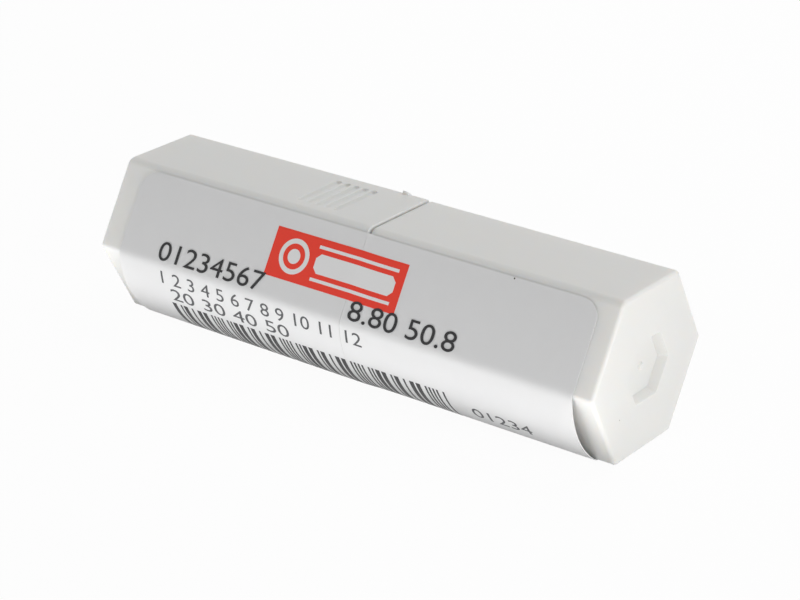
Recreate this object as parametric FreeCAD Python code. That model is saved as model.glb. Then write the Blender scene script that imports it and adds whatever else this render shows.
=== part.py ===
"""Hexagonal two-part storage case for one pin gauge, with its wrapped paper label.

The case lies on one flat. +X runs along the case from the cap's end to the body's end, +Y to the
back and +Z up, with the origin under the middle of the case, on the surface that it lies on.
All lengths are millimetres.
"""
import FreeCAD, Part

import math
import os

# ---- Driving dimensions -------------------------------------------------------------------------
# Case, outside. A side is one edge of the hexagon, which is also its corner radius.
SIDE = 9.9                # nominal side of the hexagon, at the body's closed end
BODY_DRAFT = 0.025        # loss of side from the body's closed end to its shoulder
MOUTH_PROUD = 0.095       # how much larger the cap's mouth is than the body's shoulder, by side
CAP_DRAFT = 0.15          # loss of side from the cap's mouth to its closed end
CAP_LENGTH = 32.45        # closed end to mouth
BODY_LENGTH = 29.75       # shoulder to closed end, without the neck
SEAM_GAP = 0.10           # open line between the cap's mouth and the body's shoulder
EDGE_RADIUS = 0.55        # rounding of the long edges
TOP_EDGE_RADIUS = 1.1     # softer rounding of the front top edge, above the label
END_RADIUS = 0.4          # rounding round each closed end
SHOULDER_RADIUS = 0.45    # rounding of the body's edge at the seam
MOUTH_CHAMFER = 0.12      # broken edge of the cap's mouth

# Walls, neck and snap
CAP_WALL = 1.0
CAP_END_WALL = 2.4
BODY_END_WALL = 2.6
NECK_WALL = 0.8
NECK_LENGTH = 9.0         # reach of the neck into the cap
NECK_CLEARANCE = 0.25     # neck flats to the cap's inner flats
NECK_LEAD = 0.35          # chamfer at the tip of the neck
NECK_CORNER_RADIUS = 0.8
BEAD_HEIGHT = 0.15        # snap bead round the neck
BEAD_WIDTH = 0.9
BEAD_FROM_SHOULDER = 5.5
BEAD_GROOVE_CLEARANCE = 0.1
CAVITY_CORNER_RADIUS = 0.7
CAVITY_DRAFT = 0.09       # loss of wall-to-centre distance from the neck's mouth to the floor
CAVITY_FLOOR_RADIUS = 0.5

# Recess moulded into each closed end, with the gate's mark in it
RECESS_SIDE = 3.75
RECESS_SLOPE = 0.55       # how much smaller the recess's floor is than its rim
RECESS_DEPTH = 0.9
RECESS_CORNER_RADIUS = 0.35
GATE_MARK_RADIUS = 0.45
GATE_MARK_HEIGHT = 0.22

# Thumb grip on the cap's top flat
GRIP_GROOVES = 5
GRIP_PITCH = 1.16
GRIP_FROM_MOUTH = 5.65    # mouth to the nearest groove's middle
GRIP_LENGTH = 6.9         # length of a groove across the flat
GRIP_TOOL_RADIUS = 0.42
GRIP_DEPTH = 0.30

# Small ramp on the cap's back top edge
NIB_FROM_MOUTH = 2.3
NIB_LENGTH = 0.75
NIB_HEIGHT = 0.28
NIB_WIDTH = 0.9

# Paper label, wrapped over the front and round under the case
LABEL_THICKNESS = 0.10
LABEL_HEIGHT = 31.75      # flat size across the case
LABEL_ON_CAP = 29.62      # flat size along the case, up to the slit at the seam
LABEL_ON_BODY = 27.53
LABEL_SLIT = 0.02
LABEL_FROM_TOP_EDGE = 0.60
LABEL_CORNER_RADIUS = 2.0
LABEL_BULGE = 1.19        # how far the paper stands off the lower front flat

# Pin gauge inside
PIN_DIAMETER = 8.79
PIN_LENGTH = 50.8
PIN_CHAMFER = 0.4
PIN_FROM_FLOOR = 0.3
PIN_SEAT_GAP = 0.02

# ---- Derived sizes ------------------------------------------------------------------------------
FLAT_RATIO = math.cos(math.radians(30))       # centre-to-flat distance over the side
BODY_SEAM_SIDE = SIDE - BODY_DRAFT
CAP_MOUTH_SIDE = BODY_SEAM_SIDE + MOUTH_PROUD
CAP_END_SIDE = CAP_MOUTH_SIDE - CAP_DRAFT
SHIFT_X = (CAP_LENGTH - BODY_LENGTH) / 2      # brings the middle of the case to X = 0
REST_Z = CAP_MOUTH_SIDE * FLAT_RATIO + LABEL_THICKNESS
# The label stands proud of the front edge and the back edge is rounded, so the middle is in front.
SHIFT_Y = (LABEL_THICKNESS / FLAT_RATIO + EDGE_RADIUS * (1 / FLAT_RATIO - 1)) / 2
# Corners of the hexagon, counted from the front top edge round over the top.
CORNER_ANGLES = (120, 60, 0, -60, -120, 180)
FRONT_TOP, BACK_TOP, BACK, BACK_LOW, FRONT_LOW, FRONT = range(6)
OUTER_RADII = (TOP_EDGE_RADIUS,) + 5 * (EDGE_RADIUS,)
NECK_RADII = 6 * (NECK_CORNER_RADIUS,)
BORE_RADII = 6 * (NECK_CORNER_RADIUS + NECK_CLEARANCE / 2,)
CAVITY_RADII = 6 * (CAVITY_CORNER_RADIUS,)
RECESS_RADII = 6 * (RECESS_CORNER_RADIUS,)


def corner(x, side, index):
    """One corner of the hexagon of this side, at X = x."""
    angle = math.radians(CORNER_ANGLES[index])
    return FreeCAD.Vector(x, side * math.cos(angle), side * math.sin(angle))


def hexagon(x, side, radii=None):
    """The hexagon's outline in a plane across the case, with each corner rounded by its radius."""
    if radii is None:
        points = [corner(x, side, index) for index in range(6)]
        return Part.makePolygon(points + points[:1])
    arcs = []
    for index, radius in enumerate(radii):
        tip = corner(x, side, index)
        outward = corner(0, 1, index)
        before = (corner(x, side, (index - 1) % 6) - tip).normalize()
        after = (corner(x, side, (index + 1) % 6) - tip).normalize()
        reach = radius * math.tan(math.radians(30))
        crown = tip - outward * (radius / FLAT_RATIO - radius)
        arcs.append(Part.Arc(tip + before * reach, crown, tip + after * reach).toShape())
    edges = []
    for index, arc in enumerate(arcs):
        following = arcs[(index + 1) % 6]
        edges.append(arc)
        edges.append(Part.makeLine(arc.Vertexes[1].Point, following.Vertexes[0].Point))
    return Part.Wire(edges)


def ruled_solid(outlines):
    """A solid through flat outlines with like edges: plane between two lines, ruled elsewhere."""
    faces = [Part.Face(outlines[0]), Part.Face(outlines[-1])]
    for near, far in zip(outlines, outlines[1:]):
        for first, second in zip(near.Edges, far.Edges):
            if isinstance(first.Curve, Part.Line):
                points = [first.Vertexes[0].Point, first.Vertexes[1].Point,
                          second.Vertexes[1].Point, second.Vertexes[0].Point]
                faces.append(Part.Face(Part.makePolygon(points + points[:1])))
            else:
                faces.append(Part.makeRuledSurface(first, second))
    shell = Part.makeShell(faces)
    shell.sewShape()
    solid = Part.makeSolid(shell)
    if solid.Volume < 0:
        solid.reverse()
    return solid


def taper(x_from, side_from, x_to, side_to, radii=None):
    """A solid hexagonal bar whose side changes evenly along X."""
    return ruled_solid([hexagon(x_from, side_from, radii), hexagon(x_to, side_to, radii)])


def ring_edges(shape, x):
    """The edges that lie in the plane X = x."""
    found = []
    for edge in shape.Edges:
        if all(abs(vertex.Point.x - x) < 1e-6 for vertex in edge.Vertexes):
            found.append(edge)
    return found


def side_along(x, x_from, side_from, x_to, side_to):
    """The side of an evenly tapered hexagon at X = x."""
    return side_from + (side_to - side_from) * (x - x_from) / (x_to - x_from)


# Places along the case, counted from the seam before everything is shifted.
CAP_MOUTH_X = -SEAM_GAP / 2
CAP_END_X = -CAP_LENGTH
SHOULDER_X = SEAM_GAP / 2
BODY_END_X = BODY_LENGTH
NECK_TIP_X = SHOULDER_X - NECK_LENGTH
BODY_FLOOR_X = BODY_END_X - BODY_END_WALL
CAP_FLOOR_X = CAP_END_X + CAP_END_WALL


def cap_side(x):
    """Outer side of the cap at X = x."""
    return side_along(x, CAP_END_X, CAP_END_SIDE, CAP_MOUTH_X, CAP_MOUTH_SIDE)


def body_side(x):
    """Outer side of the body at X = x."""
    return side_along(x, SHOULDER_X, BODY_SEAM_SIDE, BODY_END_X, SIDE)


def cap_bore_side(x):
    """Side of the cap's hexagonal bore at X = x: the wall is even all along."""
    return cap_side(x) - CAP_WALL / FLAT_RATIO


def neck_side(x):
    """Outer side of the neck at X = x."""
    return cap_bore_side(x) - NECK_CLEARANCE / FLAT_RATIO


def cavity_side(x):
    """Side of the body's cavity, widest at the neck's mouth so that its core can be drawn."""
    mouth = neck_side(NECK_TIP_X) - NECK_WALL / FLAT_RATIO
    return side_along(x, NECK_TIP_X, mouth, BODY_FLOOR_X, mouth - CAVITY_DRAFT / FLAT_RATIO)


def end_recess(end_x, inward):
    """The sunk hexagon of a closed end, as a tool to cut with. inward is +1 or -1 along X."""
    floor_x = end_x + inward * RECESS_DEPTH
    return taper(end_x, RECESS_SIDE, floor_x, RECESS_SIDE - RECESS_SLOPE, RECESS_RADII)


def gate_mark(end_x, inward):
    """The low button left by the gate in the middle of the recess."""
    base = FreeCAD.Vector(end_x + inward * RECESS_DEPTH, 0, 0)
    mark = Part.makeCone(GATE_MARK_RADIUS, GATE_MARK_RADIUS * 0.6, GATE_MARK_HEIGHT,
                         base, FreeCAD.Vector(-inward, 0, 0))
    return mark


def make_case_cap():
    """Cap: drafted hexagonal tube with a closed end, thumb grip, snap groove and nib."""
    outer = taper(CAP_END_X, CAP_END_SIDE, CAP_MOUTH_X, CAP_MOUTH_SIDE, OUTER_RADII)
    outer = outer.makeFillet(END_RADIUS, ring_edges(outer, CAP_END_X))
    outer = outer.makeChamfer(MOUTH_CHAMFER, ring_edges(outer, CAP_MOUTH_X))

    bore = taper(CAP_FLOOR_X, cap_bore_side(CAP_FLOOR_X),
                 CAP_MOUTH_X, cap_bore_side(CAP_MOUTH_X), BORE_RADII)
    bore = bore.makeFillet(CAVITY_FLOOR_RADIUS, ring_edges(bore, CAP_FLOOR_X))
    cap = outer.cut(bore)
    cap = cap.cut(bead_ring(BEAD_GROOVE_CLEARANCE, cap_bore_side, BORE_RADII))

    cap = cap.cut(end_recess(CAP_END_X, 1)).fuse(gate_mark(CAP_END_X, 1))
    cap = cap.cut(grip_grooves())
    return cap.fuse(nib())


def bead_ring(extra, side_at, radii):
    """A low ring with sloped flanks on a hexagonal tube: the snap bead, or its groove if wider."""
    middle = SHOULDER_X - BEAD_FROM_SHOULDER
    half = BEAD_WIDTH / 2 + extra
    crest = half / 3
    rise = BEAD_HEIGHT / FLAT_RATIO
    stations = ((-half, 0.0), (-crest, rise), (crest, rise), (half, 0.0))
    outlines = [hexagon(middle + dx, side_at(middle + dx) + up, radii) for dx, up in stations]
    ring = ruled_solid(outlines)
    inside = taper(middle - half, side_at(middle - half) - BEAD_HEIGHT,
                   middle + half, side_at(middle + half) - BEAD_HEIGHT, radii)
    return ring.cut(inside)


def grip_grooves():
    """Round-bottomed grooves across the cap's top flat, with rounded ends, as one tool."""
    tools = []
    for number in range(GRIP_GROOVES):
        x = CAP_MOUTH_X - GRIP_FROM_MOUTH - number * GRIP_PITCH
        z = cap_side(x) * FLAT_RATIO + GRIP_TOOL_RADIUS - GRIP_DEPTH
        half = GRIP_LENGTH / 2 - GRIP_TOOL_RADIUS
        start = FreeCAD.Vector(x, -half, z)
        tool = Part.makeCylinder(GRIP_TOOL_RADIUS, 2 * half, start, FreeCAD.Vector(0, 1, 0))
        for y in (-half, half):
            tool = tool.fuse(Part.makeSphere(GRIP_TOOL_RADIUS, FreeCAD.Vector(x, y, z)))
        tools.append(tool)
    return tools


def nib():
    """The small ramp on the back top edge: steep towards the closed end, sloping to the mouth."""
    x = CAP_MOUTH_X - NIB_FROM_MOUTH
    side = cap_side(x)
    outward = corner(0, 1.0, BACK_TOP)
    across = FreeCAD.Vector(0, -outward.z, outward.y)
    foot = corner(x, side - EDGE_RADIUS, BACK_TOP)
    low = EDGE_RADIUS * 0.7
    profile = [
        foot - FreeCAD.Vector(NIB_LENGTH, 0, 0),
        foot - FreeCAD.Vector(NIB_LENGTH, 0, 0) + outward * (low + NIB_HEIGHT),
        foot - FreeCAD.Vector(NIB_LENGTH / 2, 0, 0) + outward * (low + NIB_HEIGHT),
        foot + outward * low,
        foot,
    ]
    face = Part.Face(Part.makePolygon(profile + profile[:1]))
    face.translate(across * (-NIB_WIDTH / 2))
    return face.extrude(across * NIB_WIDTH)


def make_case_body():
    """Body: drafted hexagonal bar with a neck that the cap slides over, and one deep cavity."""
    outer = taper(SHOULDER_X, BODY_SEAM_SIDE, BODY_END_X, SIDE, OUTER_RADII)
    outer = outer.makeFillet(END_RADIUS, ring_edges(outer, BODY_END_X))
    outer = outer.makeFillet(SHOULDER_RADIUS, ring_edges(outer, SHOULDER_X))

    root_x = SHOULDER_X + SHOULDER_RADIUS
    neck = taper(NECK_TIP_X, neck_side(NECK_TIP_X), root_x, neck_side(root_x), NECK_RADII)
    neck = neck.makeChamfer(NECK_LEAD, ring_edges(neck, NECK_TIP_X))
    body = outer.fuse(neck).fuse(bead_ring(0.0, neck_side, NECK_RADII))

    cavity = taper(NECK_TIP_X, cavity_side(NECK_TIP_X),
                   BODY_FLOOR_X, cavity_side(BODY_FLOOR_X), CAVITY_RADII)
    cavity = cavity.makeFillet(CAVITY_FLOOR_RADIUS, ring_edges(cavity, BODY_FLOOR_X))
    body = body.cut(cavity)
    return body.cut(end_recess(BODY_END_X, -1)).fuse(gate_mark(BODY_END_X, -1))


def label_section(x, side):
    """The label's cross-section at X = x, closed, on a case of this side.

    It lies on the front flat, stands off the lower front flat in one arc, lies on the bottom
    flat and ends a little way up the lower back flat."""
    thick_side = side + LABEL_THICKNESS / FLAT_RATIO
    front_top = corner(x, side, FRONT_TOP)
    front = corner(x, side, FRONT)
    low = corner(x, side, FRONT_LOW)
    back_low = corner(x, side, BACK_LOW)
    down_front = (front - front_top).normalize()
    up_back = (corner(x, side, BACK) - back_low).normalize()
    off_bulge = (front + low - FreeCAD.Vector(2 * x, 0, 0)).normalize()

    half_chord = side / 2
    bulge_radius = (half_chord ** 2 + LABEL_BULGE ** 2) / (2 * LABEL_BULGE)
    bulge_length = 2 * bulge_radius * math.asin(half_chord / bulge_radius)
    last_flap = LABEL_HEIGHT - (side - LABEL_FROM_TOP_EDGE) - bulge_length - side

    start = front_top + down_front * LABEL_FROM_TOP_EDGE
    end = back_low + up_back * last_flap
    out_front = FreeCAD.Vector(0, down_front.z, -down_front.y)
    out_back = FreeCAD.Vector(0, up_back.z, -up_back.y)
    start_out = start + out_front * LABEL_THICKNESS
    end_out = end + out_back * LABEL_THICKNESS
    front_out = corner(x, thick_side, FRONT)
    low_out = corner(x, thick_side, FRONT_LOW)
    back_low_out = corner(x, thick_side, BACK_LOW)
    crest = (front + low) * 0.5 + off_bulge * LABEL_BULGE
    crest_out = crest + off_bulge * LABEL_THICKNESS

    edges = [
        Part.makeLine(start, front),
        Part.Arc(front, crest, low).toShape(),
        Part.makeLine(low, back_low),
        Part.makeLine(back_low, end),
        Part.makeLine(end, end_out),
        Part.makeLine(end_out, back_low_out),
        Part.makeLine(back_low_out, low_out),
        Part.Arc(low_out, crest_out, front_out).toShape(),
        Part.makeLine(front_out, start_out),
        Part.makeLine(start_out, start),
    ]
    return Part.Wire(edges)


def label_half(slit_x, end_x, side_at):
    """Half of the wrapped label, from the slit at the seam to its rounded end."""
    sections = [label_section(x, side_at(x)) for x in sorted((slit_x, end_x))]
    sheet = ruled_solid(sections)
    return sheet.cut(corner_cutters(end_x, math.copysign(1, end_x - slit_x), side_at(end_x)))


def corner_cutters(end_x, outward, side):
    """Tools that round the label's two outer corners, one on each of its outer flats."""
    section = label_section(end_x, side)
    points = [vertex.Point for vertex in section.OrderedVertexes]
    start, front = points[0], points[1]
    back_low, end = points[3], points[4]
    tools = []
    for tip, towards in ((start, front), (end, back_low)):
        inward = (towards - tip).normalize()
        normal = FreeCAD.Vector(1, 0, 0).cross(inward)
        along = FreeCAD.Vector(outward, 0, 0)
        reach = LABEL_CORNER_RADIUS
        spare = reach / 4
        centre = tip + inward * reach - along * reach
        block = [
            centre,
            centre + along * (reach + spare),
            centre + along * (reach + spare) - inward * (reach + spare),
            centre - inward * (reach + spare),
        ]
        depth = 2 * reach
        square = Part.Face(Part.makePolygon(block + block[:1]))
        square.translate(normal * (-depth / 2))
        square = square.extrude(normal * depth)
        disc = Part.makeCylinder(reach, depth, centre - normal * (depth / 2), normal)
        tools.append(square.cut(disc))
    return tools


def make_label_on_cap():
    """The part of the paper label that is stuck to the cap."""
    return label_half(-LABEL_SLIT / 2, -LABEL_ON_CAP, cap_side)


def make_label_on_body():
    """The part of the paper label that is stuck to the body."""
    return label_half(LABEL_SLIT / 2, LABEL_ON_BODY, body_side)


def make_pin_gauge():
    """The hardened steel pin, lying on the cavity's lowest flat with its end by the floor."""
    radius = PIN_DIAMETER / 2
    right = BODY_FLOOR_X - PIN_FROM_FLOOR
    seat_z = -cavity_side(BODY_FLOOR_X) * FLAT_RATIO
    start = FreeCAD.Vector(right - PIN_LENGTH, 0, seat_z + PIN_SEAT_GAP + radius)
    pin = Part.makeCylinder(radius, PIN_LENGTH, start, FreeCAD.Vector(1, 0, 0))
    rims = [edge for edge in pin.Edges if edge.BoundBox.XLength < 1e-6]
    return pin.makeChamfer(PIN_CHAMFER, rims)


def main():
    os.makedirs("parts", exist_ok=True)
    nodes = {
        "case_body": make_case_body(),
        "case_cap": make_case_cap(),
        "label_on_body": make_label_on_body(),
        "label_on_cap": make_label_on_cap(),
        "pin_gauge": make_pin_gauge(),
    }
    for name, shape in nodes.items():
        shape.translate(FreeCAD.Vector(SHIFT_X, SHIFT_Y, REST_Z))
        solid = shape.Solids[0] if len(shape.Solids) == 1 else shape
        solid.exportStep("parts/" + name + ".step")
        box = solid.BoundBox
        print("%-14s solids %d valid %s volume %.2f  x %.3f..%.3f y %.3f..%.3f z %.3f..%.3f" % (
            name, len(shape.Solids), solid.isValid(), solid.Volume,
            box.XMin, box.XMax, box.YMin, box.YMax, box.ZMin, box.ZMax))


main()
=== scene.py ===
"""Looks of the hexagonal pin gauge case: moulded plastic, wrapped label, its print, and the stage."""

import math

import bmesh
import bpy
from mathutils import Euler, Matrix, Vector


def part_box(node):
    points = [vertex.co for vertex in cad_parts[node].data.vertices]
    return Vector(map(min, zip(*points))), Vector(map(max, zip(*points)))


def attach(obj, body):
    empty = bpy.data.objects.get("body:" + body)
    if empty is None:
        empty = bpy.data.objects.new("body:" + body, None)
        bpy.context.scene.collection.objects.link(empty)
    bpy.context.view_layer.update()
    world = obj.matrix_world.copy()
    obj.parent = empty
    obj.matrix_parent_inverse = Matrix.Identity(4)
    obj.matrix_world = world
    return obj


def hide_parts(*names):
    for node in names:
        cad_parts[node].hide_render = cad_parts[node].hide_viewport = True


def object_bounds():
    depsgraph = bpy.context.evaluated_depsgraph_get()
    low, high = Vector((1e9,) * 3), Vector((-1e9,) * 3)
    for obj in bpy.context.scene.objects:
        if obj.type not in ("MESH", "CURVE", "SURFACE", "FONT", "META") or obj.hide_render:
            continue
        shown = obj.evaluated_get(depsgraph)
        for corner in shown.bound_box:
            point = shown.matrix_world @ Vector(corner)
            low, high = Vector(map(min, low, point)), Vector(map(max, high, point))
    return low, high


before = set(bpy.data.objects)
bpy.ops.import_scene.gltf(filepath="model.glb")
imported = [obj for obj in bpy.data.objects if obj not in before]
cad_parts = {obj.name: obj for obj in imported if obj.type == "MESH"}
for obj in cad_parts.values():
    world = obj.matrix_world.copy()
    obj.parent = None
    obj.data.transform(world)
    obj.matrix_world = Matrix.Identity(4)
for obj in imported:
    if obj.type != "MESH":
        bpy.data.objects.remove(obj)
CAD_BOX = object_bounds()

bl_info = {
    "name": "Pin Gauge Case",
    "version": (1, 0, 0),
    "blender": (4, 5, 0),
    "location": "View3D > Sidebar > Pin Case",
    "description": "Dresses a hexagonal pin gauge case: plastic, steel, paper label, print and stage",
    "category": "Object",
}

MM = 0.001
COS30 = math.cos(math.radians(30))
CAP, BODY = "case_cap", "case_body"
CAP_LOW, CAP_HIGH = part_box("case_cap")
BODY_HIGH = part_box("case_body")[1]
LABEL_CAP_LOW, LABEL_CAP_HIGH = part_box("label_on_cap")
LABEL_BODY_LOW, LABEL_BODY_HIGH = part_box("label_on_body")
PIN_LOW, PIN_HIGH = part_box("pin_gauge")
SLIT_X = (LABEL_CAP_HIGH.x + LABEL_BODY_LOW.x) / 2
# The paper's lowest line is its outer face under the cap's mouth, one paper below the plastic.
PAPER = CAP_LOW.z - LABEL_CAP_LOW.z
CAP_MOUTH_SIDE = 9.97 * MM
AXIS_Y = (PIN_LOW.y + PIN_HIGH.y) / 2
AXIS_Z = LABEL_CAP_LOW.z + PAPER + CAP_MOUTH_SIDE * COS30
SHARP_ANGLE = math.radians(35)


# ---- Sizes and colours --------------------------------------------------------------------------
class CaseSettings(bpy.types.PropertyGroup):
    cap_end_side: bpy.props.FloatProperty(
        name="Cap end side", description="Hexagon side at the cap's closed end",
        default=9.82 * MM, unit="LENGTH")
    cap_mouth_side: bpy.props.FloatProperty(
        name="Cap mouth side", description="Hexagon side at the cap's mouth",
        default=CAP_MOUTH_SIDE, unit="LENGTH")
    body_seam_side: bpy.props.FloatProperty(
        name="Body seam side", description="Hexagon side at the body's shoulder",
        default=9.875 * MM, unit="LENGTH")
    body_end_side: bpy.props.FloatProperty(
        name="Body end side", description="Hexagon side at the body's closed end",
        default=9.90 * MM, unit="LENGTH")
    plastic: bpy.props.FloatVectorProperty(
        name="Plastic", description="Colour of the moulded case", subtype="COLOR", size=3,
        default=(0.800, 0.797, 0.775), min=0, max=1)
    steel: bpy.props.FloatVectorProperty(
        name="Steel", description="Colour of the ground gauge pin", subtype="COLOR", size=3,
        default=(0.56, 0.57, 0.58), min=0, max=1)


class LabelSettings(bpy.types.PropertyGroup):
    height: bpy.props.FloatProperty(
        name="Height", description="Flat size of the label across the case",
        default=31.75 * MM, unit="LENGTH")
    from_edge: bpy.props.FloatProperty(
        name="From top edge", description="Bare strip above the label on the front flat",
        default=0.60 * MM, unit="LENGTH")
    corner_radius: bpy.props.FloatProperty(
        name="Corner radius", description="Rounding of the label's corners",
        default=2.0 * MM, unit="LENGTH")
    bulge: bpy.props.FloatProperty(
        name="Bulge", description="How far the paper stands off the lower front flat",
        default=1.19 * MM, unit="LENGTH")
    fold_radius: bpy.props.FloatProperty(
        name="Fold softness", description="Length over which a fold of the paper is eased",
        default=0.9 * MM, unit="LENGTH")
    bridge: bpy.props.FloatProperty(
        name="Bridge", description="Length over which the paper comes down from cap to body",
        default=4.0 * MM, unit="LENGTH")
    paper: bpy.props.FloatVectorProperty(
        name="Paper", description="Colour of the paper", subtype="COLOR", size=3,
        default=(0.745, 0.743, 0.742), min=0, max=1)
    black_ink: bpy.props.FloatVectorProperty(
        name="Black ink", description="Colour of the numerals and bars", subtype="COLOR", size=3,
        default=(0.012, 0.012, 0.013), min=0, max=1)
    grey_ink: bpy.props.FloatVectorProperty(
        name="Grey ink", description="Colour of the small numerals", subtype="COLOR", size=3,
        default=(0.055, 0.056, 0.060), min=0, max=1)
    red_ink: bpy.props.FloatVectorProperty(
        name="Red ink", description="Colour of the printed field", subtype="COLOR", size=3,
        default=(0.78, 0.040, 0.018), min=0, max=1)
    # Painted shade: the colour and width of a darker grey line along the label's top, bottom and
    # outer-end edges, standing in for the shadow where the paper's edge meets the case.
    painted_edge_shade: bpy.props.FloatVectorProperty(
        name="Cut edge", description="Colour of the paper along its cut edge", subtype="COLOR",
        size=3, default=(0.50, 0.50, 0.50), min=0, max=1)
    painted_edge_shade_width: bpy.props.FloatProperty(
        name="Cut edge width", description="Width of the darker line along the cut edge",
        default=0.07 * MM, unit="LENGTH")


class StageSettings(bpy.types.PropertyGroup):
    azimuth: bpy.props.FloatProperty(
        name="Azimuth", description="Camera's turn from straight in front, towards the body's end",
        default=math.radians(36.29), subtype="ANGLE")
    elevation: bpy.props.FloatProperty(
        name="Elevation", description="Camera's height above the floor's plane",
        default=math.radians(23.56), subtype="ANGLE")
    roll: bpy.props.FloatProperty(
        name="Roll", description="Camera's turn about its own line of sight",
        default=math.radians(0.90), subtype="ANGLE")
    distance: bpy.props.FloatProperty(
        name="Distance", description="Camera to the point that it looks at",
        default=254.5 * MM, unit="LENGTH")
    aim: bpy.props.FloatVectorProperty(
        name="Aim", description="The point that the camera looks at, from the case's middle",
        subtype="TRANSLATION", unit="LENGTH", size=3, default=(1.24 * MM, 0.40 * MM, -1.18 * MM))
    lens: bpy.props.FloatProperty(
        name="Lens", description="Focal length", default=111.5, unit="CAMERA")
    floor: bpy.props.FloatVectorProperty(
        name="Floor", description="Colour of the floor", subtype="COLOR", size=3,
        default=(0.94, 0.94, 0.94), min=0, max=1)
    floor_white: bpy.props.FloatProperty(
        name="Floor white", description="Share of plain white in the floor that is seen",
        default=0.955, subtype="FACTOR", min=0, max=1)
    sky: bpy.props.FloatProperty(
        name="Sky", description="Strength of the soft light from all round", default=0.36, min=0)
    top_power: bpy.props.FloatProperty(
        name="Top lamp", description="Lamp above and behind", default=0.46, unit="POWER")
    right_power: bpy.props.FloatProperty(
        name="Right lamp", description="Lamp at the body's end", default=0.60, unit="POWER")
    front_power: bpy.props.FloatProperty(
        name="Front lamp", description="Low lamp in front", default=0.12, unit="POWER")
    table_power: bpy.props.FloatProperty(
        name="Table light", description="Light that the table throws up in front",
        default=0.060, unit="POWER")


# ---- Shader maths -------------------------------------------------------------------------------
class Value:
    """A float socket that can be used in a Python expression."""

    def __init__(self, shader, socket):
        self.shader = shader
        self.socket = socket

    def _math(self, operation, first, second):
        return self.shader.value("ShaderNodeMath", {"operation": operation}, {0: first, 1: second})

    def __add__(self, other):
        return self._math("ADD", self, other)

    def __radd__(self, other):
        return self._math("ADD", other, self)

    def __mul__(self, other):
        return self._math("MULTIPLY", self, other)

    def __rmul__(self, other):
        return self._math("MULTIPLY", other, self)


class Shader:
    """A material and its nodes."""

    def __init__(self, name="", tree=None):
        if tree is None:
            self.material = bpy.data.materials.new(name)
            self.material.use_nodes = True
            tree = self.material.node_tree
        self.tree = tree
        self.tree.nodes.clear()

    def node(self, kind, settings=None, inputs=None):
        """Adds a node: its settings first, then the values or links of its sockets."""
        made = self.tree.nodes.new(kind)
        for name, setting in (settings or {}).items():
            setattr(made, name, setting)
        for name, given in (inputs or {}).items():
            if isinstance(given, Value):
                given = given.socket
            if isinstance(given, bpy.types.NodeSocket):
                self.tree.links.new(given, made.inputs[name])
            else:
                made.inputs[name].default_value = given
        return made

    def value(self, kind, settings=None, inputs=None):
        """A node whose first output is a float."""
        return Value(self, self.node(kind, settings, inputs).outputs[0])

    def place(self, scale=(1, 1, 1)):
        """Object coordinates, scaled for a pattern."""
        coordinates = self.node("ShaderNodeTexCoord").outputs["Object"]
        mapping = self.node("ShaderNodeMapping", inputs={"Vector": coordinates, "Scale": scale})
        return mapping.outputs["Vector"]

    def noise(self, where, scale, detail=2.0, roughness=0.5):
        return self.value("ShaderNodeTexNoise", inputs={
            "Vector": where, "Scale": scale, "Detail": detail, "Roughness": roughness})

    def seen(self):
        """1 for what the camera sees itself, in a mirror or through glass, and 0 for light."""
        path = self.node("ShaderNodeLightPath").outputs
        kinds = [Value(self, path["Is %s Ray" % kind]) for kind in
                 ("Camera", "Glossy", "Transmission")]
        return self.value("ShaderNodeMath", {"operation": "MINIMUM"}, {
            0: kinds[0] + kinds[1] + kinds[2], 1: 1.0})

    def mix(self, factor, first, second):
        """A colour between two colours."""
        made = self.node("ShaderNodeMix", {"data_type": "RGBA"}, {0: factor, 6: first, 7: second})
        return made.outputs[2]

    def bump(self, height, distance, strength):
        made = self.node("ShaderNodeBump", inputs={
            "Height": height, "Distance": distance, "Strength": strength})
        return made.outputs["Normal"]

    def surface(self, inputs):
        principled = self.node("ShaderNodeBsdfPrincipled", inputs=inputs)
        self.node("ShaderNodeOutputMaterial", inputs={"Surface": principled.outputs["BSDF"]})
        return self.material


def rgba(colour, factor):
    """A colour made lighter or darker, with full alpha."""
    return tuple(min(1.0, part * factor) for part in colour) + (1.0,)


def moulded_plastic(colour):
    """Satin white moulding: a fine spark-eroded grain, faint flow clouds and light handling marks."""
    shader = Shader("moulded_plastic")
    even = shader.place()
    stretched = shader.place(scale=(0.25, 1.0, 1.0))
    clouds = shader.noise(stretched, 190.0, detail=3.0)
    grain = shader.noise(even, 5200.0, detail=2.0)
    scuffs = shader.noise(shader.place(scale=(1.0, 6.0, 6.0)), 260.0, detail=5.0, roughness=0.62)
    return shader.surface({
        "Base Color": shader.mix(clouds, rgba(colour, 0.982), rgba(colour, 1.018)),
        "Roughness": 0.34 + clouds * 0.08 + scuffs * 0.10,
        "Normal": shader.bump(grain * 0.7 + scuffs * 0.3, 0.0035 * MM, 0.8),
        "IOR": 1.49,
        "Subsurface Weight": 0.5,
        "Subsurface Radius": (1.0, 0.82, 0.66),
        "Subsurface Scale": 1.5 * MM,
    })


def label_paper(colour):
    """Smooth label stock: short fibres, a faint mottle and a slight sheen."""
    shader = Shader("label_paper")
    fibres = shader.noise(shader.place(scale=(1.0, 2.2, 2.2)), 2600.0, detail=4.0, roughness=0.6)
    mottle = shader.noise(shader.place(), 420.0, detail=2.0)
    return shader.surface({
        "Base Color": shader.mix(mottle, rgba(colour, 0.985), rgba(colour, 1.015)),
        "Roughness": 0.50 + fibres * 0.12,
        "Normal": shader.bump(fibres, 0.004 * MM, 0.6),
        "IOR": 1.45,
        "Subsurface Weight": 0.35,
        "Subsurface Radius": (1.0, 0.95, 0.9),
        "Subsurface Scale": 0.35 * MM,
    })


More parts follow.
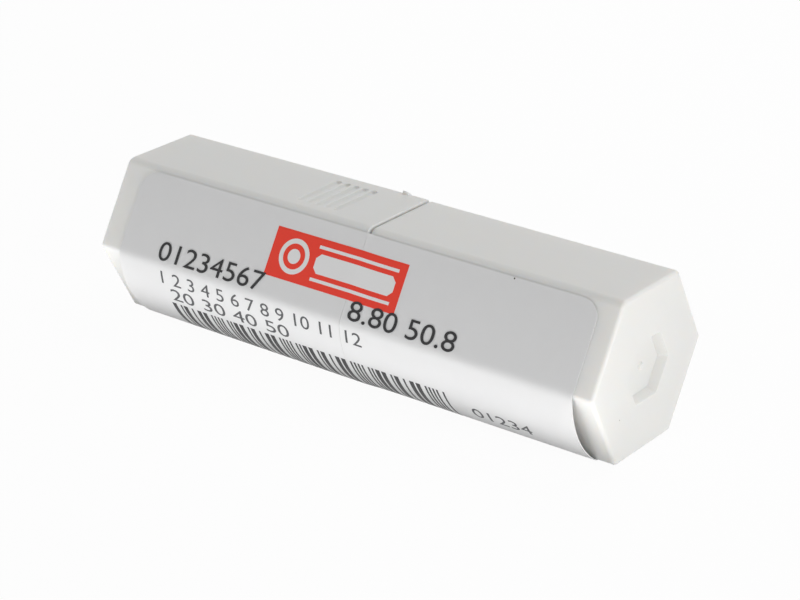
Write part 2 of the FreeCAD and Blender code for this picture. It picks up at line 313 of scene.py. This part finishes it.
def printed_ink(name, colour, spread):
    """Printed ink: the paper's fibres show through as a slight mottle."""
    shader = Shader(name)
    fibres = shader.noise(shader.place(scale=(1.0, 2.2, 2.2)), 2600.0, detail=4.0, roughness=0.6)
    return shader.surface({
        "Base Color": shader.mix(fibres, rgba(colour, 1.0 - spread), rgba(colour, 1.0 + spread)),
        "Roughness": 0.42 + fibres * 0.12,
        "Normal": shader.bump(fibres, 0.004 * MM, 0.6),
        "IOR": 1.45,
    })


def ground_steel(colour):
    """Centreless-ground steel: fine rings round the pin, which lies along X."""
    shader = Shader("ground_steel")
    rings = shader.noise(shader.place(scale=(1.0, 0.02, 0.02)), 7000.0, detail=3.0)
    haze = shader.noise(shader.place(), 260.0, detail=2.0)
    return shader.surface({
        "Base Color": shader.mix(rings, rgba(colour, 0.93), rgba(colour, 1.06)),
        "Metallic": 1.0,
        "Roughness": 0.14 + rings * 0.10 + haze * 0.06,
        "Normal": shader.bump(rings, 0.0012 * MM, 0.6),
    })


# ---- The label's surface ------------------------------------------------------------------------
def case_side(x, body):
    """Side of the hexagon at X = x on that half of the case."""
    case = bpy.context.scene.pin_case
    if body == CAP:
        x_from, x_to = CAP_LOW.x, CAP_HIGH.x
        side_from, side_to = case.cap_end_side, case.cap_mouth_side
    else:
        x_from, x_to = SLIT_X, BODY_HIGH.x
        side_from, side_to = case.body_seam_side, case.body_end_side
    return side_from + (side_to - side_from) * (x - x_from) / (x_to - x_from)


def bridged_side(x, body):
    """The side that the paper follows: it bridges the low step from the cap down to the body."""
    side = case_side(x, body)
    if body == CAP:
        return side
    reach = bpy.context.scene.pin_label.bridge
    share = max(0.0, 1 - (x - SLIT_X) / reach)
    return side + (case_side(SLIT_X, CAP) - case_side(SLIT_X, BODY)) * share * share


class Wrap:
    """The line that the paper follows round a case of one side, as (y, z) about the case's axis."""

    STEP = 0.05 * MM           # between two points of the line

    def __init__(self, side):
        label = bpy.context.scene.pin_label
        self.points = []
        top = Vector((-side / 2, side * COS30))
        front = Vector((-side, 0))
        low = Vector((-side / 2, -side * COS30))
        back_low = Vector((side / 2, -side * COS30))
        back = Vector((side, 0))
        down = (front - top).normalized()
        # The line starts above the label's edge, by the length that easing the folds takes away.
        self._line(top - down * (label.fold_radius - label.from_edge), front)
        half = side / 2
        radius = (half ** 2 + label.bulge ** 2) / (2 * label.bulge)
        middle = (front + low) / 2
        centre = middle - middle.normalized() * (radius - label.bulge)
        self._arc(centre, front, low)
        self._line(low, back_low)
        self._line(back_low, back)
        self._soften(label.fold_radius)

    def _line(self, start, end):
        count = round((end - start).length / self.STEP)
        self.points += [start.lerp(end, number / count) for number in range(count)]

    def _arc(self, centre, start, end):
        first, last = start - centre, end - centre
        angle = first.angle_signed(last)
        count = round(abs(angle) * first.length / self.STEP)
        turned = math.atan2(first.y, first.x)
        for number in range(count):
            at = turned - angle * number / count
            self.points.append(centre + first.length * Vector((math.cos(at), math.sin(at))))

    def _soften(self, length):
        """Eases the folds: each point becomes the mean of its neighbours over this length."""
        reach = round(length / self.STEP / 2)
        count = len(self.points)
        eased = []
        for number in range(count - 2 * reach):
            around = self.points[number:number + 2 * reach + 1]
            eased.append(sum(around, Vector((0, 0))) / len(around))
        skipped = round(length / self.STEP) - reach
        self.points = eased[skipped:]

    def at(self, down, lift):
        """The point this far down from the label's top edge, this far off the case."""
        place = max(0.0, down / self.STEP)
        index = min(int(place), len(self.points) - 2)
        here, there = self.points[index], self.points[index + 1]
        tangent = (there - here).normalized()
        outward = Vector((tangent.y, -tangent.x))
        spot = here.lerp(there, place - index)
        if outward.dot(spot) < 0:
            outward = -outward
        return spot + outward * lift


def on_label(x, down, lift, body, wraps):
    """The point of the label at X = x, this far down from its top edge and off the case."""
    (small_side, small), (large_side, large) = wraps
    share = (bridged_side(x, body) - small_side) / (large_side - small_side)
    spot = small.at(down, lift).lerp(large.at(down, lift), share)
    return Vector((x, AXIS_Y + spot.x, AXIS_Z + spot.y))


def label_wraps():
    """The paper's line on the smallest and the largest side, between which the rest lie."""
    case = bpy.context.scene.pin_case
    return [(side, Wrap(side)) for side in (case.cap_end_side, case.cap_mouth_side)]


def new_piece(name, mesh, material, body):
    """An object of one material that rides with this half of the case."""
    mesh.materials.clear()
    mesh.materials.append(material)
    piece = bpy.data.objects.new(name, mesh)
    bpy.context.scene.collection.objects.link(piece)
    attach(piece, body)
    return piece


def shade_smooth(mesh):
    for polygon in mesh.polygons:
        polygon.use_smooth = True
    mesh.set_sharp_from_angle(angle=SHARP_ANGLE)


class PIN_CASE_OT_case(bpy.types.Operator):
    """Gives the cap and the body their moulded plastic"""
    bl_idname = "pin_case.case"
    bl_label = "Moulded Case"

    def execute(self, context):
        plastic = moulded_plastic(context.scene.pin_case.plastic)
        for name in (CAP, BODY):
            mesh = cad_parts[name].data
            mesh.materials.clear()
            mesh.materials.append(plastic)
        return {"FINISHED"}


class PIN_CASE_OT_pin(bpy.types.Operator):
    """Gives the gauge pin inside its ground steel"""
    bl_idname = "pin_case.pin"
    bl_label = "Gauge Pin"

    def execute(self, context):
        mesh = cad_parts["pin_gauge"].data
        mesh.materials.clear()
        mesh.materials.append(ground_steel(context.scene.pin_case.steel))
        return {"FINISHED"}


class PIN_CASE_OT_label(bpy.types.Operator):
    """Wraps the two halves of the paper label round the case"""
    bl_idname = "pin_case.label"
    bl_label = "Wrapped Label"

    ACROSS = 128               # cells down the label
    ALONG = 40                 # cells along each half
    BACK_OF_PAPER = 0.004 * MM     # off the plastic, so that no faces lie in one place

    def execute(self, context):
        label = context.scene.pin_label
        paper = label_paper(label.paper)
        # The edge material is painted shade: a darker grey that stands in for the shadow along the
        # label's edges.
        edge = printed_ink("painted_edge_shade", label.painted_edge_shade, 0.05)
        wraps = label_wraps()
        halves = (("label_paper_cap", CAP, LABEL_CAP_LOW.x, LABEL_CAP_HIGH.x, "label_on_cap"),
                  ("label_paper_body", BODY, LABEL_BODY_HIGH.x, LABEL_BODY_LOW.x, "label_on_body"))
        for name, body, outer_x, slit_x, node in halves:
            mesh = self.sheet(name, body, outer_x, slit_x, label, wraps)
            piece = new_piece(name, mesh, paper, body)
            mesh.materials.append(edge)
            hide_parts(node)
        return {"FINISHED"}

    def sheet(self, name, body, outer_x, slit_x, label, wraps):
        """A closed sheet one paper thick whose outer corners are rounded."""
        build = bmesh.new()
        radius = label.corner_radius
        direction = math.copysign(1, slit_x - outer_x)
        layers = []
        for lift in (self.BACK_OF_PAPER, PAPER):
            rows = []
            for row in range(self.ACROSS + 1):
                down = self.spread(row, self.ACROSS, label.height, label.painted_edge_shade_width, True)
                from_edge = min(down, label.height - down, radius)
                retreat = radius - math.sqrt(max(0.0, radius ** 2 - (radius - from_edge) ** 2))
                start = outer_x + direction * retreat
                line = []
                for column in range(self.ALONG + 1):
                    x = start + direction * self.spread(
                        column, self.ALONG, abs(slit_x - start), label.painted_edge_shade_width, False)
                    line.append(build.verts.new(on_label(x, down, lift, body, wraps)))
                rows.append(line)
            layers.append(rows)
        inner, outer = layers
        last_row, last_column = self.ACROSS, self.ALONG
        for row in range(last_row):
            for column in range(last_column):
                # Outer faces in the first and last rows and in the outer-end column get the painted
                # edge shade.
                at_edge = row in (0, last_row - 1) or column == 0
                for rows in layers:
                    face = build.faces.new((rows[row][column], rows[row][column + 1],
                                            rows[row + 1][column + 1], rows[row + 1][column]))
                    face.material_index = int(at_edge and rows is outer)
            for column in (0, last_column):
                build.faces.new((inner[row][column], inner[row + 1][column],
                                 outer[row + 1][column], outer[row][column]))
        for column in range(last_column):
            for row in (0, last_row):
                build.faces.new((inner[row][column], inner[row][column + 1],
                                 outer[row][column + 1], outer[row][column]))
        bmesh.ops.recalc_face_normals(build, faces=build.faces)
        mesh = bpy.data.meshes.new(name)
        build.to_mesh(mesh)
        build.free()
        shade_smooth(mesh)
        return mesh

    @staticmethod
    def spread(number, count, length, first, both):
        """Places along a length: one narrow step at its edge, or at both, and even ones between."""
        if number == 0:
            return 0.0
        if both and number == count:
            return length
        steps = count - (2 if both else 1)
        return first + (length - first * (2 if both else 1)) * (number - 1) / steps


# ---- Print --------------------------------------------------------------------------------------
# Print is placed by shares of the label's length and by lengths down from its top edge.
INK_THICKNESS = 0.008 * MM
INK_LIFT = 0.002 * MM      # of the lowest ink off the paper
INK_LEVEL = 0.009 * MM     # from one level of ink to the next
BEND_STEP = 0.35 * MM      # print is cut across this finely, so that it bends with the paper
BRIDGE_CUTS = 8            # and in this many places where the paper comes down to the body
DARK_SPECK = (0.05, 0.045, 0.04)       # colours of the two specks
FAINT_SPECK = (0.45, 0.44, 0.42)


def label_x(share):
    """X at this share of the label's length, from the cap's end."""
    return LABEL_CAP_LOW.x + (LABEL_BODY_HIGH.x - LABEL_CAP_LOW.x) * share


def text_mesh(text, height, width):
    """Plain numerals as a flat mesh, its lower left corner at the origin, scaled to this size."""
    curve = bpy.data.curves.new("numerals", "FONT")
    curve.body = text
    curve.resolution_u = 6
    holder = bpy.data.objects.new("numerals", curve)
    mesh = bpy.data.meshes.new_from_object(holder)
    bpy.data.objects.remove(holder)
    bpy.data.curves.remove(curve)
    xs = [vertex.co.x for vertex in mesh.vertices]
    ys = [vertex.co.y for vertex in mesh.vertices]
    for vertex in mesh.vertices:
        vertex.co.x = (vertex.co.x - min(xs)) / (max(xs) - min(xs)) * width
        vertex.co.y = (vertex.co.y - min(ys)) / (max(ys) - min(ys)) * height
    return mesh


def print_on_label(name, flat, material, level=0):
    """Bends flat shapes, drawn in X and down the label (as -Y), on to the paper.

    They are cut at the slit, and each side rides with its own half of the case."""
    wraps = label_wraps()
    base = PAPER + INK_LIFT + INK_LEVEL * level
    for body, keep_low in ((CAP, True), (BODY, False)):
        build = bmesh.new()
        build.from_mesh(flat)
        cut_flat(build, Vector((SLIT_X, 0, 0)), Vector((1, 0, 0)),
                 clear_outer=keep_low, clear_inner=not keep_low)
        if not build.faces:
            build.free()
            continue
        slice_flat(build)
        outline = bmesh.ops.extrude_face_region(build, geom=build.faces[:])
        raised = [item for item in outline["geom"] if isinstance(item, bmesh.types.BMVert)]
        for vertex in raised:
            vertex.co.z = INK_THICKNESS
        for vertex in build.verts:
            x, down, rise = vertex.co.x, -vertex.co.y, vertex.co.z
            vertex.co = on_label(x, down, base + rise, body, wraps)
        bmesh.ops.recalc_face_normals(build, faces=build.faces)
        mesh = bpy.data.meshes.new(name)
        build.to_mesh(mesh)
        build.free()
        new_piece(name + ("_cap" if body == CAP else "_body"), mesh, material, body)


def cut_flat(build, point, normal, clear_outer=False, clear_inner=False):
    """Cuts a flat shape along a line, and clears the side that isn't wanted."""
    everything = build.verts[:] + build.edges[:] + build.faces[:]
    bmesh.ops.bisect_plane(build, geom=everything, plane_co=point, plane_no=normal,
                           clear_outer=clear_outer, clear_inner=clear_inner, dist=1e-9)


def slice_flat(build):
    """Cuts flat shapes across, wherever the paper under them may bend."""
    lowest = min(vertex.co.y for vertex in build.verts)
    highest = max(vertex.co.y for vertex in build.verts)
    count = int((highest - lowest) / BEND_STEP)
    for number in range(1, count + 1):
        y = lowest + (highest - lowest) * number / (count + 1)
        cut_flat(build, Vector((0, y, 0)), Vector((0, 1, 0)))
    bridge = bpy.context.scene.pin_label.bridge
    for number in range(1, BRIDGE_CUTS + 1):
        x = SLIT_X + bridge * number / BRIDGE_CUTS
        cut_flat(build, Vector((x, 0, 0)), Vector((1, 0, 0)))


def flat_shape(name, outlines):
    """Filled outlines, each a list of (x, down), as one flat mesh."""
    build = bmesh.new()
    for outline in outlines:
        build.faces.new([build.verts.new((x, -down, 0)) for x, down in outline])
    mesh = bpy.data.meshes.new(name)
    build.to_mesh(mesh)
    build.free()
    return mesh


def rectangle(x_from, x_to, top, bottom):
    """The outline of an upright rectangle, for flat_shape."""
    return [(x_from, top), (x_from, bottom), (x_to, bottom), (x_to, top)]


def disc(x, down, radius, count=40):
    """The outline of a round spot, for flat_shape."""
    turns = [2 * math.pi * number / count for number in range(count)]
    return [(x + radius * math.cos(turn), down - radius * math.sin(turn)) for turn in turns]


class PIN_CASE_OT_print_field(bpy.types.Operator):
    """Prints the red field with a plain sign for a round pin: its end and its side"""
    bl_idname = "pin_case.print_field"
    bl_label = "Red Field"

    def execute(self, context):
        label = context.scene.pin_label
        left, right = label_x(0.331), label_x(0.620)
        top, bottom = 1.80 * MM, 6.95 * MM
        height = bottom - top
        red = printed_ink("red_ink", label.red_ink, 0.06)
        field = flat_shape("red_field", [rectangle(left, right, top, bottom)])
        print_on_label("red_field", field, red)
        white = printed_ink("bare_paper", label.paper, 0.015)
        middle = top + height * 0.5
        ring_x = left + height * 0.58
        outer, inner, core = height * 0.36, height * 0.26, height * 0.15
        bar_left, bar_right = ring_x + height * 0.62, right - height * 0.28
        nose = height * 0.10
        bar_top, bar_bottom = middle - outer * 0.55, middle + outer * 0.55
        bar = [(bar_left, bar_top), (bar_left - nose, bar_top + nose),
               (bar_left - nose, bar_bottom - nose), (bar_left, bar_bottom),
               (bar_right, bar_bottom), (bar_right + nose, bar_bottom - nose),
               (bar_right + nose, bar_top + nose), (bar_right, bar_top)]
        line_gap = outer * 0.82
        under = rectangle(bar_left - nose, bar_right + nose, middle + line_gap, middle + outer)
        over = rectangle(bar_left - nose, bar_right + nose, middle - outer, middle - line_gap)
        print_on_label("pin_sign", flat_shape("pin_sign", [
            disc(ring_x, middle, outer), bar, under, over]), white, level=1)
        print_on_label("pin_sign_ring", flat_shape("pin_sign_ring", [
            disc(ring_x, middle, inner)]), red, level=2)
        print_on_label("pin_sign_core", flat_shape("pin_sign_core", [
            disc(ring_x, middle, core)]), white, level=3)
        return {"FINISHED"}


class PIN_CASE_OT_print_numerals(bpy.types.Operator):
    """Prints plain numerals: a count on the left, the pin's size on the right, and small rows"""
    bl_idname = "pin_case.print_numerals"
    bl_label = "Numerals"

    def execute(self, context):
        label = context.scene.pin_label
        black = printed_ink("black_ink", label.black_ink, 0.25)
        grey = printed_ink("grey_ink", label.grey_ink, 0.20)
        above_field = 4
        # Name, text, ends as shares of the label's length, top and bottom in mm, ink and level
        rows = (
            ("numerals_left", "01234567", 0.0905, 0.3375, 6.78, 8.82, black, above_field),
            ("numerals_right", "8.80 50.8", 0.530, 0.757, 6.78, 8.82, black, above_field),
            ("numerals_row", "1 2 3 4 5 6 7 8 9 10 11 12", 0.101, 0.564, 9.88, 11.40, grey, 0),
            ("numerals_size", "20 30 40 50", 0.117, 0.396, 11.85, 13.45, grey, 0),
            ("numerals_end", "01234", 0.776, 0.898, 15.20, 16.90, grey, 0),
        )
        for name, text, start, end, top, bottom, ink, level in rows:
            left, right = label_x(start), label_x(end)
            mesh = text_mesh(text, (bottom - top) * MM, right - left)
            for vertex in mesh.vertices:
                vertex.co.x += left
                vertex.co.y -= bottom * MM
            print_on_label(name, mesh, ink, level)
        return {"FINISHED"}


class PIN_CASE_OT_print_bars(bpy.types.Operator):
    """Prints the row of upright bars, which are spaced by a rule and encode nothing"""
    bl_idname = "pin_case.print_bars"
    bl_label = "Bars"

    COUNT = 50
    MODULE = 0.1 * MM          # a narrow bar, before the row is stretched to its length
    WIDER = 1.4                # modules that a wide bar or gap has more than a narrow one
    CYCLE = 13.0               # the rule's remainders run from 0 to below this
    WIDE_BELOW = 4.5           # and a bar or gap is wide where its remainder is below this

    def execute(self, context):
        ink = bpy.data.materials["black_ink"]
        left, right = label_x(0.110), label_x(0.729)
        top, bottom = 13.95 * MM, 19.2 * MM
        mesh = self.bars(left, right, top, bottom, ink)
        print_on_label("bars", mesh, ink)
        return {"FINISHED"}

    def bars(self, left, right, top, bottom, ink):
        """Upright bars from left to right, as one flat mesh made by a node tree."""
        tree = bpy.data.node_groups.new("bar_row", "GeometryNodeTree")
        face = tree.interface
        face.new_socket("Geometry", in_out="OUTPUT", socket_type="NodeSocketGeometry")
        for name, kind in (("Count", "NodeSocketInt"), ("Module", "NodeSocketFloat"),
                           ("Height", "NodeSocketFloat"), ("Ink", "NodeSocketMaterial")):
            face.new_socket(name, in_out="INPUT", socket_type=kind)
        nodes, links = tree.nodes, tree.links
        given = nodes.new("NodeGroupInput").outputs

        def add(kind, settings=None, inputs=None):
            made = nodes.new(kind)
            for name, setting in (settings or {}).items():
                setattr(made, name, setting)
            for name, source in (inputs or {}).items():
                if isinstance(source, bpy.types.NodeSocket):
                    links.new(source, made.inputs[name])
                else:
                    made.inputs[name].default_value = source
            return made

        def maths(operation, first, second):
            made = add("ShaderNodeMath", {"operation": operation}, {0: first, 1: second})
            return made.outputs[0]

        def wide(factor, offset):
            """One module or WIDER more, by a rule on the square of the bar's number."""
            index = add("GeometryNodeInputIndex").outputs[0]
            square = maths("MULTIPLY", index, index)
            shifted = maths("ADD", maths("MULTIPLY", square, factor), maths("ADD", index, offset))
            is_wide = maths("LESS_THAN", maths("MODULO", shifted, self.CYCLE), self.WIDE_BELOW)
            return maths("ADD", maths("MULTIPLY", is_wide, self.WIDER), 1.0)

        bar_width = wide(3.0, 1.0)
        gap_width = wide(5.0, 4.0)
        pitch = maths("ADD", bar_width, gap_width)
        running = add("GeometryNodeAccumulateField", {"data_type": "FLOAT"}, {"Value": pitch})
        place = maths("MULTIPLY", running.outputs["Trailing"], given["Module"])
        centre = maths("ADD", place, maths("MULTIPLY", maths("MULTIPLY", bar_width, 0.5),
                                           given["Module"]))
        line = add("GeometryNodeMeshLine", None, {"Count": given["Count"]})
        spot = add("ShaderNodeCombineXYZ", None, {"X": centre})
        points = add("GeometryNodeSetPosition", None, {
            "Geometry": line.outputs[0], "Position": spot.outputs[0]})
        card = add("GeometryNodeMeshGrid", None, {
            "Size X": 1.0, "Size Y": 1.0, "Vertices X": 2, "Vertices Y": 2})
        size = add("ShaderNodeCombineXYZ", None, {
            "X": maths("MULTIPLY", bar_width, given["Module"]), "Y": given["Height"], "Z": 1.0})
        copies = add("GeometryNodeInstanceOnPoints", None, {
            "Points": points.outputs[0], "Instance": card.outputs[0], "Scale": size.outputs[0]})
        real = add("GeometryNodeRealizeInstances", None, {"Geometry": copies.outputs[0]})
        inked = add("GeometryNodeSetMaterial", None, {
            "Geometry": real.outputs[0], "Material": given["Ink"]})
        output = nodes.new("NodeGroupOutput")
        links.new(inked.outputs[0], output.inputs[0])

        holder = bpy.data.objects.new("bar_row", bpy.data.meshes.new("bar_row"))
        bpy.context.scene.collection.objects.link(holder)
        modifier = holder.modifiers.new("bar_row", "NODES")
        modifier.node_group = tree
        keys = {item.name: item.identifier for item in tree.interface.items_tree
                if item.in_out == "INPUT"}
        modifier[keys["Count"]] = self.COUNT
        modifier[keys["Module"]] = self.MODULE
        modifier[keys["Height"]] = bottom - top
        modifier[keys["Ink"]] = ink
        graph = bpy.context.evaluated_depsgraph_get()
        mesh = bpy.data.meshes.new_from_object(holder.evaluated_get(graph))
        bpy.data.objects.remove(holder)
        start = min(vertex.co.x for vertex in mesh.vertices)
        width = max(vertex.co.x for vertex in mesh.vertices) - start
        for vertex in mesh.vertices:
            vertex.co.x = left + (vertex.co.x - start) * (right - left) / width
            vertex.co.y -= (top + bottom) / 2
        return mesh


class PIN_CASE_OT_specks(bpy.types.Operator):
    """Adds the two tiny specks: a dark one at the label's edge, a faint one on the body's end"""
    bl_idname = "pin_case.specks"
    bl_label = "Specks"

    SIDES = 12

    def execute(self, context):
        self.speck_on_label(printed_ink("speck", DARK_SPECK, 0.2))
        self.speck_on_end(printed_ink("faint_speck", FAINT_SPECK, 0.08))
        return {"FINISHED"}

    def speck_on_label(self, dirt):
        x, down, radius = 19.0 * MM, 0.16 * MM, 0.09 * MM
        outline = [disc(x, down, radius, self.SIDES)]
        print_on_label("speck_on_label", flat_shape("speck_on_label", outline), dirt, level=1)

    def speck_on_end(self, dirt):
        build = bmesh.new()
        height = 0.02 * MM
        middle = Vector((BODY_HIGH.x, AXIS_Y - 4.8 * MM, AXIS_Z - 3.7 * MM))
        bmesh.ops.create_cone(build, cap_ends=True, segments=self.SIDES, radius1=0.07 * MM,
                              radius2=0.05 * MM, depth=height)
        for vertex in build.verts:
            vertex.co = middle + Vector((vertex.co.z + height / 2, vertex.co.x, vertex.co.y))
        bmesh.ops.recalc_face_normals(build, faces=build.faces)
        mesh = bpy.data.meshes.new("speck_on_end")
        build.to_mesh(mesh)
        build.free()
        new_piece("speck_on_end", mesh, dirt, BODY)


# ---- Stage --------------------------------------------------------------------------------------
class PIN_CASE_OT_stage(bpy.types.Operator):
    """Sets the pale floor, the soft lights, the sky and the camera"""
    bl_idname = "pin_case.stage"
    bl_label = "Stage"

    def execute(self, context):
        self.floor(context.scene.pin_stage)
        self.sky(context.scene.pin_stage)
        self.lights(context.scene.pin_stage)
        self.camera(context.scene.pin_stage)
        context.scene.view_settings.view_transform = "Standard"
        return {"FINISHED"}

    def floor(self, stage):
        """A wide square at the case's foot; what is seen of it is nearly plain white."""
        half = 3.0
        mesh = bpy.data.meshes.new("floor")
        corners = [(-half, -half), (half, -half), (half, half), (-half, half)]
        mesh.from_pydata([(x, y, CAD_BOX[0].z) for x, y in corners], [], [(0, 1, 2, 3)])
        shader = Shader("floor")
        cloud = shader.noise(shader.place(), 3.0)
        paint = shader.node("ShaderNodeBsdfDiffuse", inputs={
            "Color": shader.mix(cloud, rgba(stage.floor, 0.995), rgba(stage.floor, 1.005))})
        white = shader.node("ShaderNodeEmission", inputs={"Color": (1, 1, 1, 1), "Strength": 1.0})
        share = shader.seen() * stage.floor_white
        both = shader.node("ShaderNodeMixShader", inputs={
            0: share, 1: paint.outputs[0], 2: white.outputs[0]})
        shader.node("ShaderNodeOutputMaterial", inputs={"Surface": both.outputs[0]})
        mesh.materials.append(shader.material)
        floor = bpy.data.objects.new("floor", mesh)
        bpy.context.scene.collection.objects.link(floor)

    def sky(self, stage):
        """Soft light from all round; what is seen or mirrored of it is plain white."""
        world = bpy.data.worlds.new("studio")
        bpy.context.scene.world = world
        world.use_nodes = True
        shader = Shader(tree=world.node_tree)
        light = shader.node("ShaderNodeBackground", inputs={
            "Color": (1, 1, 1, 1), "Strength": stage.sky})
        white = shader.node("ShaderNodeBackground", inputs={"Color": (1, 1, 1, 1), "Strength": 1.0})
        both = shader.node("ShaderNodeMixShader", inputs={
            0: shader.seen(), 1: light.outputs[0], 2: white.outputs[0]})
        shader.node("ShaderNodeOutputWorld", inputs={"Surface": both.outputs[0]})

    def lights(self, stage):
        self.area("back_top_panel", place=(0.02, 0.20, 0.30), target=(0, 0, 0.01),
                  size=(0.30, 0.20), power=stage.top_power)
        self.area("right_panel", place=(0.36, -0.04, 0.035), target=(0.03, 0, 0.01),
                  size=(0.20, 0.12), power=stage.right_power)
        self.area("front_panel", place=(-0.08, -0.36, 0.03), target=(-0.01, 0, 0.008),
                  size=(0.30, 0.05), power=stage.front_power)
        just_above_floor = CAD_BOX[0].z + 0.4 * MM
        self.area("front_table", place=(0.0, -0.066, just_above_floor), target=(0.0, -0.066, 1.0),
                  size=(0.16, 0.11), power=stage.table_power)

    def area(self, name, place, target, size, power):
        """A soft lamp that shines from its place towards its target, and isn't seen itself."""
        light = bpy.data.lights.new(name, "AREA")
        light.shape = "RECTANGLE"
        light.size, light.size_y = size
        light.energy = power
        lamp = bpy.data.objects.new(name, light)
        lamp.visible_camera = False
        lamp.location = place
        aim = Vector(target) - Vector(place)
        lamp.rotation_euler = aim.to_track_quat("-Z", "Y").to_euler()
        bpy.context.scene.collection.objects.link(lamp)

    def camera(self, stage):
        camera = bpy.data.cameras.new("camera")
        camera.lens = stage.lens
        camera.sensor_width = 36.0
        camera.clip_start = 0.01
        eye = bpy.data.objects.new("camera", camera)
        level = math.cos(stage.elevation)
        away = Vector((math.sin(stage.azimuth) * level, -math.cos(stage.azimuth) * level,
                       math.sin(stage.elevation)))
        middle = (CAD_BOX[0] + CAD_BOX[1]) / 2
        target = middle + Vector(stage.aim)
        eye.location = target + away * stage.distance
        turn = Euler((math.pi / 2 - stage.elevation, 0, stage.azimuth)).to_matrix()
        roll = Euler((0, 0, stage.roll)).to_matrix()
        eye.rotation_euler = (turn @ roll).to_euler()
        bpy.context.scene.collection.objects.link(eye)
        bpy.context.scene.camera = eye


class PIN_CASE_PT_panel(bpy.types.Panel):
    """Lists the operators that make the pieces and the stage, and their settings"""
    bl_label = "Pin Gauge Case"
    bl_idname = "PIN_CASE_PT_panel"
    bl_space_type = "VIEW_3D"
    bl_region_type = "UI"
    bl_category = "Pin Case"

    def draw(self, context):
        for operator in OPERATORS:
            self.layout.operator(operator.bl_idname)
        for holder in SETTINGS:
            box = self.layout.box()
            group = getattr(context.scene, holder)
            for name in SETTINGS[holder].__annotations__:
                box.prop(group, name)


SETTINGS = {"pin_case": CaseSettings, "pin_label": LabelSettings, "pin_stage": StageSettings}
OPERATORS = (PIN_CASE_OT_case, PIN_CASE_OT_pin, PIN_CASE_OT_label, PIN_CASE_OT_print_field,
             PIN_CASE_OT_print_numerals, PIN_CASE_OT_print_bars,
             PIN_CASE_OT_specks, PIN_CASE_OT_stage)


def register():
    for holder, settings in SETTINGS.items():
        bpy.utils.register_class(settings)
        setattr(bpy.types.Scene, holder, bpy.props.PointerProperty(type=settings))
    for operator in OPERATORS:
        bpy.utils.register_class(operator)
    bpy.utils.register_class(PIN_CASE_PT_panel)


def unregister():
    bpy.utils.unregister_class(PIN_CASE_PT_panel)
    for operator in reversed(OPERATORS):
        bpy.utils.unregister_class(operator)
    for holder, settings in SETTINGS.items():
        delattr(bpy.types.Scene, holder)
        bpy.utils.unregister_class(settings)


def main():
    register()
    bpy.ops.pin_case.case()
    bpy.ops.pin_case.pin()
    bpy.ops.pin_case.label()
    bpy.ops.pin_case.print_field()
    bpy.ops.pin_case.print_numerals()
    bpy.ops.pin_case.print_bars()
    bpy.ops.pin_case.specks()
    bpy.ops.pin_case.stage()


if __name__ == "__main__":
    main()
